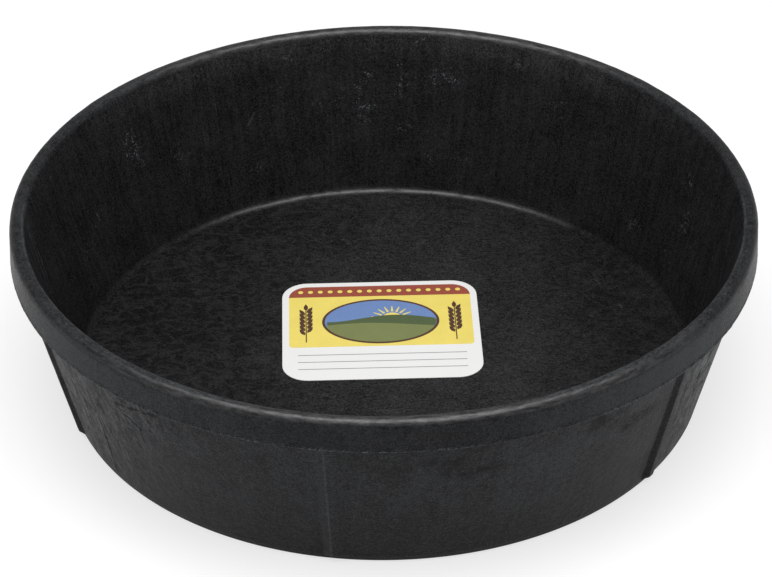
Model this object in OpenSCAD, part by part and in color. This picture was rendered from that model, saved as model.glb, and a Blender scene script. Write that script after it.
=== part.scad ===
// Feed tub moulded in one piece from black rubber, with a paper label stuck to its floor.
// Millimetres. Z is up, the base rests on Z = 0 and the tub stands round the Z axis. The front is -Y.

/* [Tub] */
// Widest diameter, at the lower edge of the rim band before that edge is rounded
rim_diameter = 420; // [260:1:600]
// Height from the ground to the top of the lip
tub_height = 111; // [80:1:200]
// Diameter at the ground, before the corner is rounded
base_diameter = 364; // [200:1:540]
// Thickness of the side wall, square to its slope
wall_thickness = 8.5; // [6:0.5:14]
// Thickness of the floor
floor_thickness = 9; // [6:0.5:16]
// Radius inside, where the wall rises from the floor
floor_fillet = 4; // [3:0.5:12]
// Radius of the outer corner at the ground
base_corner = 3; // [1:0.5:8]

/* [Rim band] */
// Height of the band, from its lower edge to the top of the lip
band_height = 20; // [12:0.5:40]
// How far the band's lower edge stands out from the wall
band_step = 5.5; // [3:0.1:10]
// Draft of the band's outer face, which narrows towards the lip (degrees)
band_draft = 3; // [0:0.5:8]
// Radius of the edge where the two halves of the mould part
band_edge_radius = 1.2; // [0.4:0.1:2.5]
// Radius in the corner under the band
band_root_radius = 1; // [0.4:0.1:2.5]
// Width of the lip between its two edges, before they are rounded over
lip_width = 7.6; // [5:0.1:12]
// Narrow flat left on the crown of the lip
lip_flat = 0.4; // [0.2:0.1:2]
// Depth of the inner flare below the top of the lip
flare_depth = 14; // [8:0.5:24]

/* [Ribs] */
// Number of upright ribs round the outside
rib_count = 6; // [3:1:12]
// Turn of the first rib from the front, to the right (degrees)
rib_turn = -8.4; // [-60:0.1:60]
// Width where a rib leaves the wall
rib_root_width = 13.2; // [6:0.2:16]
// Width across the crest
rib_crest_width = 3.6; // [2:0.2:8]
// How far a rib stands out at its lower end
rib_proud_foot = 2.4; // [1.5:0.1:5]
// How far a rib stands out under the band
rib_proud_top = 1.7; // [1:0.1:4]
// Radius along the two edges of the crest
rib_crest_radius = 1; // [0.4:0.1:1.8]
// Height of the square-cut lower end above the ground
rib_foot_height = 4.5; // [0:0.5:10]

/* [Label] */
// Width of the paper label
label_width = 116; // [40:1:160]
// Length of the label, front to back
label_length = 100; // [40:1:160]
// Corner radius of the label
label_corner = 15; // [2:1:30]
// Thickness of the paper with its glue
label_thickness = 0.3; // [0.1:0.05:0.6]
// Place of the label's middle to the right of the tub's axis
label_x = -2; // [-40:0.5:40]
// Place of the label's middle behind the tub's axis
label_y = 21.5; // [-40:0.5:40]
// Turn of the label, anticlockwise from above (degrees)
label_turn = 1.5; // [-10:0.5:10]

/* [Hidden] */
$fn = 96;

// Names of the separate solids

rubber_colour = "#2b2b2d";
paper_colour = "#f2f0ea";

rim_radius = rim_diameter / 2;
base_radius = base_diameter / 2;
// Height of the band's lower edge, where the mould parts
band_level = tub_height - band_height;
wall_top_radius = rim_radius - band_step;
// Slope of the side wall from the vertical
wall_draft = atan2(wall_top_radius - base_radius, band_level);

// Radius of the wall's outer and inner face at a height above the ground
function outer_radius(z) = base_radius + z * tan(wall_draft);
function inner_radius(z) = outer_radius(z) - wall_thickness / cos(wall_draft);

flare_level = tub_height - flare_depth;
lip_outer = rim_radius - band_height * tan(band_draft);

// Sharp corners of the tub's section, as radius and height
foot = [base_radius, 0];
wall_top = [wall_top_radius, band_level];
band_edge = [rim_radius, band_level];
lip_out = [lip_outer, tub_height];
lip_in = [lip_outer - lip_width, tub_height];
flare_start = [inner_radius(flare_level), flare_level];
floor_corner = [inner_radius(floor_thickness), floor_thickness];
floor_middle = [0, floor_thickness];
base_middle = [0, 0];

function unit(v) = v / norm(v);
// Half of the angle at corner p, between the sides to a and to b
function half_angle(p, a, b) = acos(unit(a - p) * unit(b - p)) / 2;
// Length of side that a round takes, for each millimetre of its radius
function run_per_radius(p, a, b) = 1 / tan(half_angle(p, a, b));

// The two rounds of the lip share its width, apart from the flat on the crown
lip_radius = (lip_width - lip_flat)
    / (run_per_radius(lip_out, band_edge, lip_in) + run_per_radius(lip_in, lip_out, flare_start));

// Extra radius that lets a round cross its two sides instead of only touching them
round_crossing = 0.0005;
// Reach of a corner's sliver beyond the corner, so that no skin is left on its sides
sliver_overshoot = 0.2;
// Depth by which a rib's root lies inside the round wall
rib_sink = 0.25;
// Overlap that joins a rib to the band above it
rib_overlap = 0.5;
// Room round a rib for the block that trims its ends
rib_room = 20;

// Sliver between the sharp corner p and a round of radius r that meets both of its sides
module corner_sliver(p, a, b, r) {
    run = r * run_per_radius(p, a, b);
    inward = unit(unit(a - p) + unit(b - p));
    centre = p + inward * r / sin(half_angle(p, a, b));
    difference() {
        polygon([p - inward * sliver_overshoot, p + unit(a - p) * run, centre, p + unit(b - p) * run]);
        translate(centre) circle(r + round_crossing);
    }
}

// Half section of the tub: floor, drafted wall, rim band and full-round lip
module tub_section() {
    difference() {
        union() {
            polygon([base_middle, foot, wall_top, band_edge, lip_out, lip_in,
                     flare_start, floor_corner, floor_middle]);
            corner_sliver(floor_corner, flare_start, floor_middle, floor_fillet);
            corner_sliver(wall_top, foot, band_edge, band_root_radius);
        }
        corner_sliver(foot, base_middle, wall_top, base_corner);
        corner_sliver(band_edge, wall_top, lip_out, band_edge_radius);
        corner_sliver(lip_out, band_edge, lip_in, lip_radius);
        corner_sliver(lip_in, lip_out, flare_start, lip_radius);
    }
}

// Section across a rib, with X out from the wall: a buried sole, sloping flanks and a rounded crest
module rib_section() {
    crest = rib_proud_foot + rib_sink;
    root_right = [0, rib_root_width / 2];
    root_left = [0, -rib_root_width / 2];
    crest_right = [crest, rib_crest_width / 2];
    crest_left = [crest, -rib_crest_width / 2];
    difference() {
        polygon([[-rib_proud_foot, -rib_root_width / 2], root_left, crest_left, crest_right,
                 root_right, [-rib_proud_foot, rib_root_width / 2]]);
        corner_sliver(crest_right, root_right, crest_left, rib_crest_radius);
        corner_sliver(crest_left, root_left, crest_right, rib_crest_radius);
    }
}

// One rib along +X, sinking into the wall towards the band and cut square at its lower end
module rib() {
    sole_foot = outer_radius(0) - rib_sink;
    sole_top = outer_radius(band_level) - rib_sink - (rib_proud_foot - rib_proud_top);
    lean = atan2(sole_top - sole_foot, band_level);
    intersection() {
        translate([sole_foot, 0, 0])
            rotate([0, lean, 0])
                translate([0, 0, -rib_room])
                    linear_extrude(tub_height + 2 * rib_room) rib_section();
        translate([sole_foot - rib_room, -rib_room, rib_foot_height])
            cube([sole_top - sole_foot + 2 * rib_room, 2 * rib_room, band_level + rib_overlap - rib_foot_height]);
    }
}

// The moulded tub: one piece of rubber with its ribs
module tub() {
    color(rubber_colour) {
        rotate_extrude() tub_section();
        for (i = [0 : rib_count - 1])
            rotate([0, 0, rib_turn - 90 + i * 360 / rib_count]) rib();
    }
}

// The paper label, stuck flat to the floor
module label() {
    half = [label_width, label_length] / 2;
    corners = [[half.x, half.y], [-half.x, half.y], [-half.x, -half.y], [half.x, -half.y]];
    color(paper_colour)
        translate([label_x, label_y, floor_thickness])
            rotate([0, 0, label_turn])
                linear_extrude(label_thickness)
                    difference() {
                        polygon(corners);
                        for (i = [0 : 3])
                            corner_sliver(corners[i], corners[(i + 3) % 4], corners[(i + 1) % 4], label_corner);
                    }
}

tub();
label();
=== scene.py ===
"""Looks of the rubber feed tub: a turned and ribbed shell and a printed paper label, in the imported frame."""

import logging
import math
from dataclasses import dataclass
from enum import Enum
from typing import Optional, Union

import bmesh
import bpy
import numpy as np
from mathutils import Matrix, Vector


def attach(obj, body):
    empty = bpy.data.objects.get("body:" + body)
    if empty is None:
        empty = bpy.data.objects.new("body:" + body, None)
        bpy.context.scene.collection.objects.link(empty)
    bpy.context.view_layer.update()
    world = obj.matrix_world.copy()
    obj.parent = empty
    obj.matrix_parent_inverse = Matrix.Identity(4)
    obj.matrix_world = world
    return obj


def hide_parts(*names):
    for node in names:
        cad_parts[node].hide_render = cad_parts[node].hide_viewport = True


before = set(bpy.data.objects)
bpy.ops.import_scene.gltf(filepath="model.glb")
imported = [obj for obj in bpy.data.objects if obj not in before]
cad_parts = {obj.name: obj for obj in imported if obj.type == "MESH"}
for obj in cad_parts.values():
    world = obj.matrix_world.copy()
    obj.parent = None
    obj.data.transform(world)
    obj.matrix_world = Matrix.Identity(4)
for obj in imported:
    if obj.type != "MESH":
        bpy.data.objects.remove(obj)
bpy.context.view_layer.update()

LOG = logging.getLogger("feed_tub")
MM = 0.001
BODY = "root"
# Radius at which the wall is unrolled for the scratches, wrinkles and noises on it
RING_RADIUS = 200 * MM

Triple = tuple[float, float, float]
Colour = Triple
Range = tuple[float, float]
Outline = list[tuple[float, float]]
Feed = Union["Field", float, int, str, tuple, bpy.types.Material]
Feeds = dict[Union[int, str], Feed]


class Skin(Enum):
    """Parts of the tub's surface, each with a look of its own."""

    UNDERSIDE = "underside"
    OUTER = "outer wall"
    STEP = "step under the band"
    BAND = "rim band"
    LIP = "lip"
    INNER = "inner wall"
    FILLET = "floor fillet"
    FLOOR = "floor"


class Ink(Enum):
    """Inks of the label's print, in the order of the label's material slots after the paper."""

    YELLOW = "ink_yellow"
    RED = "ink_brick_red"
    BROWN = "ink_brown"
    BLUE = "ink_sky_blue"
    MEADOW = "ink_meadow_green"
    HILL = "ink_hill_green"
    GREY = "ink_grey"


@dataclass(frozen=True)
class Texture:
    """A soft noise: cells to the metre, finer layers, their strength, its own bend, and a stretch."""

    scale: float
    detail: float = 2.0
    roughness: float = 0.5
    distortion: float = 0.0
    stretch: Optional[Triple] = None


@dataclass(frozen=True)
class Field:
    """A node's output, which is reckoned with like a number."""

    graph: "Graph"
    socket: bpy.types.NodeSocket

    def __add__(self, other: Feed) -> "Field":
        """Return the sum of both."""
        return self.graph.math("ADD", self, other)

    def __sub__(self, other: Feed) -> "Field":
        """Return this field less the other value."""
        return self.graph.math("SUBTRACT", self, other)

    def __rsub__(self, other: Feed) -> "Field":
        """Return the other value less this field."""
        return self.graph.math("SUBTRACT", other, self)

    def __mul__(self, other: Feed) -> "Field":
        """Return the product of both."""
        return self.graph.math("MULTIPLY", self, other)

    def __truediv__(self, other: Feed) -> "Field":
        """Return this field over the other value."""
        return self.graph.math("DIVIDE", self, other)

    def __abs__(self) -> "Field":
        """Return the field without its sign."""
        return self.graph.math("ABSOLUTE", self)

    __radd__ = __add__
    __rmul__ = __mul__

    def swing(self, reach: Feed) -> "Field":
        """Return noise that swings by a reach to both sides of zero."""
        return (self - 0.5) * 2.0 * reach

    def ramp(self, low: Feed, high: Feed, to_low: Feed = 0.0, to_high: Feed = 1.0,
             smooth: bool = False) -> "Field":
        """Map a range to another one, without going past its ends.

        Args:
            low: start of the range it comes from.
            high: end of the range it comes from.
            to_low: result at the start.
            to_high: result at the end.
            smooth: ease in and out at the two ends.

        Returns:
            The mapped field.
        """
        return self.graph.make(
            "ShaderNodeMapRange", dict(enumerate((self, low, high, to_low, to_high))), clamp=True,
            interpolation_type="SMOOTHSTEP" if smooth else "LINEAR")


class Graph:
    """Adds nodes to a tree and wires them in few words."""

    def __init__(self, tree: bpy.types.NodeTree) -> None:
        """Keep the tree that the nodes go to."""
        self.tree = tree

    def make(self, kind: str, feeds: Optional[Feeds] = None, output: Union[int, str] = 0,
             **settings: Union[str, bool]) -> Field:
        """Add a node and wire it.

        Args:
            kind: Blender's name of the node type.
            feeds: what goes to its inputs, by their numbers or names.
            output: number or name of the output to return.
            settings: properties to set on the node.

        Returns:
            The output.
        """
        made = self.tree.nodes.new(kind)
        for name, value in settings.items():
            setattr(made, name, value)
        for key, value in (feeds or {}).items():
            self.feed(made.inputs[key], value)
        return Field(self, made.outputs[output])

    def feed(self, socket: bpy.types.NodeSocket, value: Feed) -> None:
        """Link a socket to a field, or set its plain value."""
        if isinstance(value, Field):
            self.tree.links.new(value.socket, socket)
        else:
            socket.default_value = value

    def math(self, operation: str, *values: Feed) -> Field:
        """Return the result of a Math node on the given values."""
        return self.make("ShaderNodeMath", dict(enumerate(values)), operation=operation)

    def vector(self, operation: str, *values: Feed) -> Field:
        """Return the vector result of a Vector Math node on the given values."""
        return self.make("ShaderNodeVectorMath", dict(enumerate(values)), "Vector", operation=operation)

    def dot(self, first: Feed, second: Feed) -> Field:
        """Return the dot product of two vectors."""
        return self.make("ShaderNodeVectorMath", {0: first, 1: second}, "Value", operation="DOT_PRODUCT")

    def length(self, vector: Field) -> Field:
        """Return the length of a vector."""
        return self.math("SQRT", self.dot(vector, vector))

    def scaled(self, vector: Feed, factor: Feed) -> Field:
        """Return a vector times a number."""
        return self.make("ShaderNodeVectorMath", {0: vector, "Scale": factor}, "Vector", operation="SCALE")

    def combine(self, *numbers: Feed) -> Field:
        """Return a vector made of three numbers."""
        return self.make("ShaderNodeCombineXYZ", dict(enumerate(numbers)))

    def split(self, vector: Field) -> list[Field]:
        """Return the three numbers of a vector."""
        first = self.make("ShaderNodeSeparateXYZ", {0: vector})
        return [Field(self, output) for output in first.socket.node.outputs]

    def noise(self, place: Field, texture: Texture, output: Union[int, str] = 0) -> Field:
        """Make a soft noise.

        Args:
            place: coordinates that the noise is read at.
            texture: its settings.
            output: 0 for a number between 0 and 1, or Color for three of them.

        Returns:
            The noise, around one half.
        """
        if texture.stretch:
            place = self.vector("MULTIPLY", place, texture.stretch)
        feeds = {"Vector": place, "Scale": texture.scale, "Detail": texture.detail,
                 "Roughness": texture.roughness, "Distortion": texture.distortion}
        return self.make("ShaderNodeTexNoise", feeds, output, noise_dimensions="3D")


class Recipe(Graph):
    """A Geometry Nodes tree with named inputs, which turns an object into a plain mesh."""

    def __init__(self, name: str) -> None:
        """Start the tree with its geometry input and output."""
        super().__init__(bpy.data.node_groups.new(name, "GeometryNodeTree"))
        for way in ("INPUT", "OUTPUT"):
            self.tree.interface.new_socket("Geometry", in_out=way, socket_type="NodeSocketGeometry")
        self.entry = self.tree.nodes.new("NodeGroupInput")
        self.exit = self.tree.nodes.new("NodeGroupOutput")
        self.settings: dict[str, Feed] = {}
        self.base = Field(self, self.entry.outputs["Geometry"])

    def named(self, name: str, value: Feed, kind: str = "Float") -> Field:
        """Add a named input.

        Args:
            name: name that the input shows.
            value: what the modifier gives it.
            kind: Float, Int, Vector or Material.

        Returns:
            The input inside the tree.
        """
        item = self.tree.interface.new_socket(name, in_out="INPUT", socket_type="NodeSocket" + kind)
        self.settings[item.identifier] = value
        return Field(self, self.entry.outputs[name])

    def attribute(self, name: str, kind: str) -> Field:
        """Return a named attribute."""
        return self.make("GeometryNodeInputNamedAttribute", {"Name": name}, "Attribute", data_type=kind)

    def sample(self, value: Field, index: Field, kind: str = "FLOAT_VECTOR") -> Field:
        """Return a field's value at one point of the geometry that goes in."""
        feeds = {"Geometry": self.base, "Value": value, "Index": index}
        return self.make("GeometryNodeSampleIndex", feeds, data_type=kind, domain="POINT")

    def store(self, geometry: Field, name: str, value: Field, kind: str = "FLOAT_VECTOR") -> Field:
        """Return the geometry with a field stored on its points under a name."""
        feeds = {"Geometry": geometry, "Name": name, "Value": value}
        return self.make("GeometryNodeStoreNamedAttribute", feeds, data_type=kind, domain="POINT")

    def finish(self, geometry: Field, material: bpy.types.Material) -> None:
        """End the tree: make instances real and set the material."""
        real = self.make("GeometryNodeRealizeInstances", {0: geometry})
        feeds = {"Geometry": real, "Material": self.named("Material", material, "Material")}
        self.feed(self.exit.inputs[0], self.make("GeometryNodeSetMaterial", feeds))

    def apply(self, piece: bpy.types.Object) -> None:
        """Run the tree on an object and leave the result as the object's own mesh."""
        modifier = piece.modifiers.new(self.tree.name, "NODES")
        modifier.node_group = self.tree
        for identifier, value in self.settings.items():
            modifier[identifier] = value
        depsgraph = bpy.context.evaluated_depsgraph_get()
        made = bpy.data.meshes.new_from_object(piece.evaluated_get(depsgraph), depsgraph=depsgraph)
        piece.modifiers.remove(modifier)
        made.name = piece.name
        piece.data = made


class Surface(Graph):
    """A node material with one Principled shader."""

    def __init__(self, name: str) -> None:
        """Start the material."""
        self.material = bpy.data.materials.new(name)
        self.material.use_nodes = True
        super().__init__(self.material.node_tree)
        self.place = self.make("ShaderNodeTexCoord", output="Object")

    def attribute(self, name: str, output: str = "Fac") -> Field:
        """Return an attribute of the mesh."""
        return self.make("ShaderNodeAttribute", output=output, attribute_name=name)

    def dress(self, looks: Feeds, relief: Field, strength: float, depth: float) -> bpy.types.Material:
        """Set the looks of the shader.

        Args:
            looks: what goes to the shader's inputs, by their names.
            relief: height of the fine relief.
            strength: strength of the relief.
            depth: depth of the relief.

        Returns:
            The material.
        """
        shader = self.tree.nodes["Principled BSDF"]
        bump = self.make("ShaderNodeBump", {"Strength": strength, "Distance": depth, "Height": relief})
        for name, value in {**looks, "Normal": bump}.items():
            self.feed(shader.inputs[name], value)
        return self.material


def new_object(name: str, mesh: bpy.types.Mesh) -> bpy.types.Object:
    """Link a new object for a mesh.

    Args:
        name: name of the object.
        mesh: its mesh.

    Returns:
        The object, at the origin.
    """
    made = bpy.data.objects.new(name, mesh)
    bpy.context.scene.collection.objects.link(made)
    return made


def add_layer(mesh: bpy.types.Mesh, name: str, values: Union[list, np.ndarray]) -> None:
    """Store a number or a vector for each point of a mesh under a name."""
    data = np.array(values, np.float32)
    kind, key = ("FLOAT_VECTOR", "vector") if data.ndim > 1 else ("FLOAT", "value")
    mesh.attributes.new(name, kind, "POINT").data.foreach_set(key, data.ravel())


def read_vectors(items: bpy.types.bpy_prop_collection, key: str) -> np.ndarray:
    """Read a vector of each item, one to a row."""
    values = np.empty(len(items) * 3, np.float32)
    items.foreach_get(key, values)
    return values.reshape(-1, 3)


def rounded_corner(corner: Vector, before: Vector, after: Vector, radius: float, steps: int) -> list[Vector]:
    """Points of the round that replaces a sharp corner.

    Args:
        corner: the sharp corner.
        before: the corner that comes before it.
        after: the corner that follows it.
        radius: radius of the round.
        steps: number of chords.

    Returns:
        The points, from the side of the corner before to the side of the one after.
    """
    back = (before - corner).normalized()
    ahead = (after - corner).normalized()
    half = back.angle(ahead) / 2
    run = radius / math.tan(half)
    centre = corner + (back + ahead).normalized() * radius / math.sin(half)
    first = corner + back * run - centre
    last = corner + ahead * run - centre
    start = math.atan2(first.y, first.x)
    sweep = math.remainder(math.atan2(last.y, last.x) - start, math.tau)
    angles = [start + sweep * i / steps for i in range(steps + 1)]
    return [centre + Vector((math.cos(a), math.sin(a))) * radius for a in angles]


def between(start: Vector, end: Vector, step: float) -> list[Vector]:
    """Evenly spaced points strictly between two points, about a step apart."""
    count = max(1, round((end - start).length / step))
    return [start.lerp(end, i / count) for i in range(1, count)]


@dataclass(frozen=True)
class TubSection:
    """Half section of the tub, with the sizes of the moulding."""

    rim_diameter: float = 420 * MM
    height: float = 111 * MM
    base_diameter: float = 364 * MM
    wall: float = 8.5 * MM
    floor: float = 9 * MM
    floor_fillet: float = 4 * MM
    base_corner: float = 3 * MM
    band_height: float = 20 * MM
    band_step: float = 5.5 * MM
    band_draft: float = 3.0
    band_edge_radius: float = 1.2 * MM
    band_root_radius: float = 1 * MM
    lip_width: float = 7.6 * MM
    lip_flat: float = 0.4 * MM
    flare_depth: float = 14 * MM
    rib_foot: float = 4.5 * MM
    cut_half: float = 0.08 * MM
    row_step: float = 2.1 * MM
    wide_row_step: float = 28 * MM
    skin_margin: float = 0.4 * MM
    # Middle of the parting line above the band's lower edge, as a share of that edge's radius
    parting_rise: float = 0.6
    # Depth of wall below the band over which the waver of the parting line dies out
    slide_depth: float = 45 * MM
    # Share of the band, under the lip, that stays still when the parting line wavers
    still_band: float = 0.25

    @property
    def band_level(self) -> float:
        """Height of the band's lower edge."""
        return self.height - self.band_height

    @property
    def slope(self) -> float:
        """Outward run of the wall for each metre of height."""
        return (self.rim_diameter / 2 - self.band_step - self.base_diameter / 2) / self.band_level

    def outer_radius(self, height: float) -> float:
        """Radius of the wall's outer face at a height."""
        return self.base_diameter / 2 + height * self.slope

    def inner_radius(self, height: float) -> float:
        """Radius of the wall's inner face at a height."""
        return self.outer_radius(height) - self.wall * math.hypot(1, self.slope)

    def rows(self) -> list[tuple[Vector, Skin]]:
        """Rows of the shell along the section.

        Returns:
            Radius and height of each row with its skin, from the middle of the underside, up the
            outside, over the lip and down to the middle of the floor.
        """
        rim = self.rim_diameter / 2
        lip_outer = rim - self.band_height * math.tan(math.radians(self.band_draft))
        flare = self.height - self.flare_depth
        base_middle = Vector((0, 0))
        foot = Vector((self.base_diameter / 2, 0))
        wall_top = Vector((rim - self.band_step, self.band_level))
        band_edge = Vector((rim, self.band_level))
        lip_out = Vector((lip_outer, self.height))
        lip_in = Vector((lip_outer - self.lip_width, self.height))
        flare_start = Vector((self.inner_radius(flare), flare))
        floor_corner = Vector((self.inner_radius(self.floor), self.floor))
        floor_middle = Vector((0, self.floor))
        half_out = (band_edge - lip_out).angle(lip_in - lip_out) / 2
        half_in = (lip_out - lip_in).angle(flare_start - lip_in) / 2
        lip_radius = (self.lip_width - self.lip_flat) / (1 / math.tan(half_out) + 1 / math.tan(half_in))

        foot_round = rounded_corner(foot, base_middle, wall_top, self.base_corner, steps=4)
        root_round = rounded_corner(wall_top, foot, band_edge, self.band_root_radius, steps=3)
        edge_round = rounded_corner(band_edge, wall_top, lip_out, self.band_edge_radius, steps=6)
        out_round = rounded_corner(lip_out, band_edge, lip_in, lip_radius, steps=9)
        in_round = rounded_corner(lip_in, lip_out, flare_start, lip_radius, steps=8)
        floor_round = rounded_corner(floor_corner, flare_start, floor_middle, self.floor_fillet, steps=8)
        floor_edge = floor_round[-1] - Vector((self.skin_margin, 0))
        cut_levels = (self.rib_foot - self.cut_half, self.rib_foot + self.cut_half)
        cut = [Vector((self.outer_radius(level), level)) for level in cut_levels]
        under = between(base_middle, foot_round[0], self.wide_row_step)
        floor = between(floor_edge, floor_middle, self.wide_row_step)

        parts = [
            (Skin.UNDERSIDE, [base_middle] + under + foot_round),
            (Skin.OUTER, cut + between(cut[1], root_round[0], self.row_step) + root_round),
            (Skin.STEP, between(root_round[-1], edge_round[0], self.row_step) + edge_round),
            (Skin.BAND, between(edge_round[-1], out_round[0], self.row_step)),
            (Skin.LIP, out_round + in_round),
            (Skin.INNER, between(in_round[-1], flare_start, self.row_step) + [flare_start]),
            (Skin.INNER, between(flare_start, floor_round[0], self.row_step)),
            (Skin.FILLET, floor_round),
            (Skin.FLOOR, [floor_edge] + floor + [floor_middle]),
        ]
        return [(point, skin) for skin, points in parts for point in points]

    def mesh(self) -> bpy.types.Mesh:
        """Make the section's rows as loose points that carry their attributes.

        Returns:
            A mesh with one vertex for each row, at its radius along X and its height along Z.
        """
        rows = self.rows()
        points = [point for point, _ in rows]
        mesh = bpy.data.meshes.new("tub_section")
        mesh.from_pydata([(p.x, 0, p.y) for p in points], [], [])
        outward, outside, inside, run = [], [], [], []
        length = 0.0
        for i, (point, skin) in enumerate(rows):
            before = points[max(i - 1, 0)]
            along = (points[min(i + 1, len(points) - 1)] - before).normalized()
            length += (point - before).length
            outward.append((along.y, 0, -along.x))
            outside.append((skin in (Skin.OUTER, Skin.STEP), skin is Skin.BAND, skin is Skin.LIP))
            inside.append((skin is Skin.INNER, skin is Skin.FLOOR, skin is Skin.FILLET))
            run.append(length)
        add_layer(mesh, "outward", outward)
        add_layer(mesh, "outside", outside)
        add_layer(mesh, "inside", inside)
        add_layer(mesh, "slide", [self.slide_of(point, skin) for point, skin in rows])
        add_layer(mesh, "run", run)
        add_layer(mesh, "parting", [self.parting_of(point, skin) for point, skin in rows])
        return mesh

    def parting_of(self, point: Vector, skin: Skin) -> float:
        """How near a row lies to the line where the mould parts, from 0 to 1."""
        if skin not in (Skin.STEP, Skin.BAND):
            return 0.0
        above = point.y - self.band_level - self.parting_rise * self.band_edge_radius
        return max(0.0, 1 - abs(above) / self.band_edge_radius)

    def slide_of(self, point: Vector, skin: Skin) -> Triple:
        """How far a row moves when the parting line rises by one: outward, nothing and up."""
        if skin is Skin.OUTER:
            share = min(1.0, max(0.0, 1 - (self.band_level - point.y) / self.slide_depth))
            return share * self.slope, 0.0, share
        if skin is Skin.STEP:
            return 0.0, 0.0, 1.0
        if skin is Skin.BAND:
            below_lip = (self.height - point.y) / self.band_height
            return 0.0, 0.0, max(0.0, below_lip - self.still_band) / (1 - self.still_band)
        return 0.0, 0.0, 0.0


@dataclass(frozen=True)
class WearPatch:
    """A patch of wear on a wall, by its angle from the front in degrees and its height."""

    angle: float
    height: float
    width: float
    tall: float
    strength: float


@dataclass(frozen=True)
class LineMark:
    """A fine line between two points of the floor or of the unrolled wall."""

    start: tuple[float, float]
    end: tuple[float, float]
    half_width: float
    strength: float


def wear_patches(*rows: tuple[float, ...]) -> list[WearPatch]:
    """Make patches from rows of angle, height, width and tallness in millimetres, and strength."""
    return [WearPatch(angle, height * MM, width * MM, tall * MM, strength)
            for angle, height, width, tall, strength in rows]


def floor_lines(*rows: tuple[float, ...]) -> list[LineMark]:
    """Make lines from rows of X and Y of both ends and half the width in millimetres, and strength."""
    return [LineMark((x * MM, y * MM), (to_x * MM, to_y * MM), half_width * MM, strength)
            for x, y, to_x, to_y, half_width, strength in rows]


def wall_lines(*rows: tuple[float, ...]) -> list[LineMark]:
    """Make lines from rows of both ends' angle and height in millimetres, half width and strength."""
    return [LineMark((math.radians(angle) * RING_RADIUS, height * MM),
                     (math.radians(to_angle) * RING_RADIUS, to_height * MM), half_width * MM, strength)
            for angle, height, to_angle, to_height, half_width, strength in rows]


# Clusters of pale crumbs on the inner wall
SCUFFS = wear_patches(
    (-177.2, 82, 4, 7, 0.8), (-173.9, 75, 6, 3, 0.8), (-176.5, 63, 7, 9, 1.0), (-169.1, 66.7, 12, 4, 0.5),
    (-162.9, 99, 4, 6, 0.5), (177.3, 89, 4, 2.5, 1.0), (177.1, 75.4, 7, 6, 0.9), (174.7, 79.4, 5, 4, 1.0),
    (171.2, 80.6, 4, 8, 0.7), (167.5, 82.9, 9, 6, 1.0), (172.5, 105, 9, 2.5, 0.9), (175.7, 50.2, 6, 3, 0.6),
    (164.2, 33.5, 5, 4, 0.7), (170.6, 32, 4, 5, 0.5), (154.7, 99, 6, 4, 0.7), (123.6, 30.5, 6, 3.5, 0.9),
    (145.5, 77, 8, 7, 0.5), (-161, 69.5, 5, 3, 0.6), (-160.8, 80.6, 3, 2.5, 0.6), (-154.4, 35, 5, 4, 0.5),
    (-138.5, 58, 10, 8, 0.3), (-127.5, 80, 8, 8, 0.9), (-129, 68, 9, 5, 0.8), (-108, 43, 6, 4, 0.8),
    (-114.4, 53, 7, 6, 0.5), (108.4, 57, 6, 7, 1.0), (111.5, 78, 6, 6, 0.8), (111.1, 32.4, 6, 5, 0.7),
    (103.2, 50.6, 4, 5, 0.6),
)

# Dull patches on the outer wall, rubbed dark
SMUDGES = wear_patches(
    (9, 79, 13, 7, 0.6), (11.5, 67, 10, 5, 0.6), (15.7, 70, 8, 4, 0.6), (2, 75, 14, 6, 0.3),
    (34.3, 81, 14, 8, 0.75), (40.2, 67, 5, 5, 0.9), (43.2, 69.5, 9, 4, 0.75), (-33, 80, 14, 6, 0.4),
    (-19, 74, 8, 5, 0.3), (-4, 86, 10, 4, 0.3),
)

# Places where the skin of the outer wall is creased like leather
CREASES = wear_patches(
    (-38, 82, 26, 12, 0.7), (-51, 50, 44, 50, 0.7), (-64, 40, 30, 50, 0.6), (61, 50, 28, 60, 1.1),
)

# Wrinkles in the skin of the outer wall, darkened with painted shade
VEINS = wall_lines(
    (-53.4, 6, -52.4, 34, 1.8, 0.9), (-52.4, 34, -52.4, 52, 1.4, 0.8), (-43.3, 71.5, -40.5, 66, 1.3, 0.9),
    (-40.5, 66, -40.5, 56, 1.2, 0.7), (-46.0, 76, -36.0, 84, 1.2, 0.8),
)

# Pale scratches on the inner wall
SCRATCHES = wall_lines(
    (-86.0, 107, -83.4, 66, 1.1, 0.35), (-87.3, 105, -85.8, 61, 1.1, 0.28), (90.8, 97, 83.8, 65, 0.9, 0.2),
    (81.4, 107, 72.4, 94, 0.9, 0.15), (95, 71, 89.9, 38, 0.8, 0.15), (84.4, 69, 81.3, 55, 0.8, 0.2),
    (167, 24, 167, 92, 0.6, 0.035), (-170, 18, -170, 92, 0.8, 0.035), (-147.8, 86, -147.6, 72, 0.7, 0.13),
    (-147.6, 72, -147.4, 58, 0.6, 0.08), (-155.3, 68.5, -153.6, 62.5, 0.8, 0.22),
    (-151.2, 95, -150.4, 79, 1.6, 0.024), (-144.5, 66, -143.9, 48, 1.8, 0.024),
)

# Pale nicks on the floor
NICKS = floor_lines(
    (122.5, 78.0, 127.5, 71.0, 0.7, 0.14), (127.5, 71.0, 129.1, 68.9, 1.0, 0.2),
    (135.0, 103, 133.5, 81, 1.2, 0.05), (145.5, 80.6, 146.1, 80.6, 0.8, 0.3),
    (121.8, 33.8, 122.4, 33.8, 0.8, 0.3), (138.8, 45.5, 141.0, 42.5, 1.0, 0.15),
    (-25.5, 119, -24.7, 119, 0.9, 0.3), (-10.0, 103.6, -3.5, 104.4, 0.9, 0.12),
    (-6.4, -59.2, 9.4, -57.5, 0.9, 0.12),
)


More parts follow.
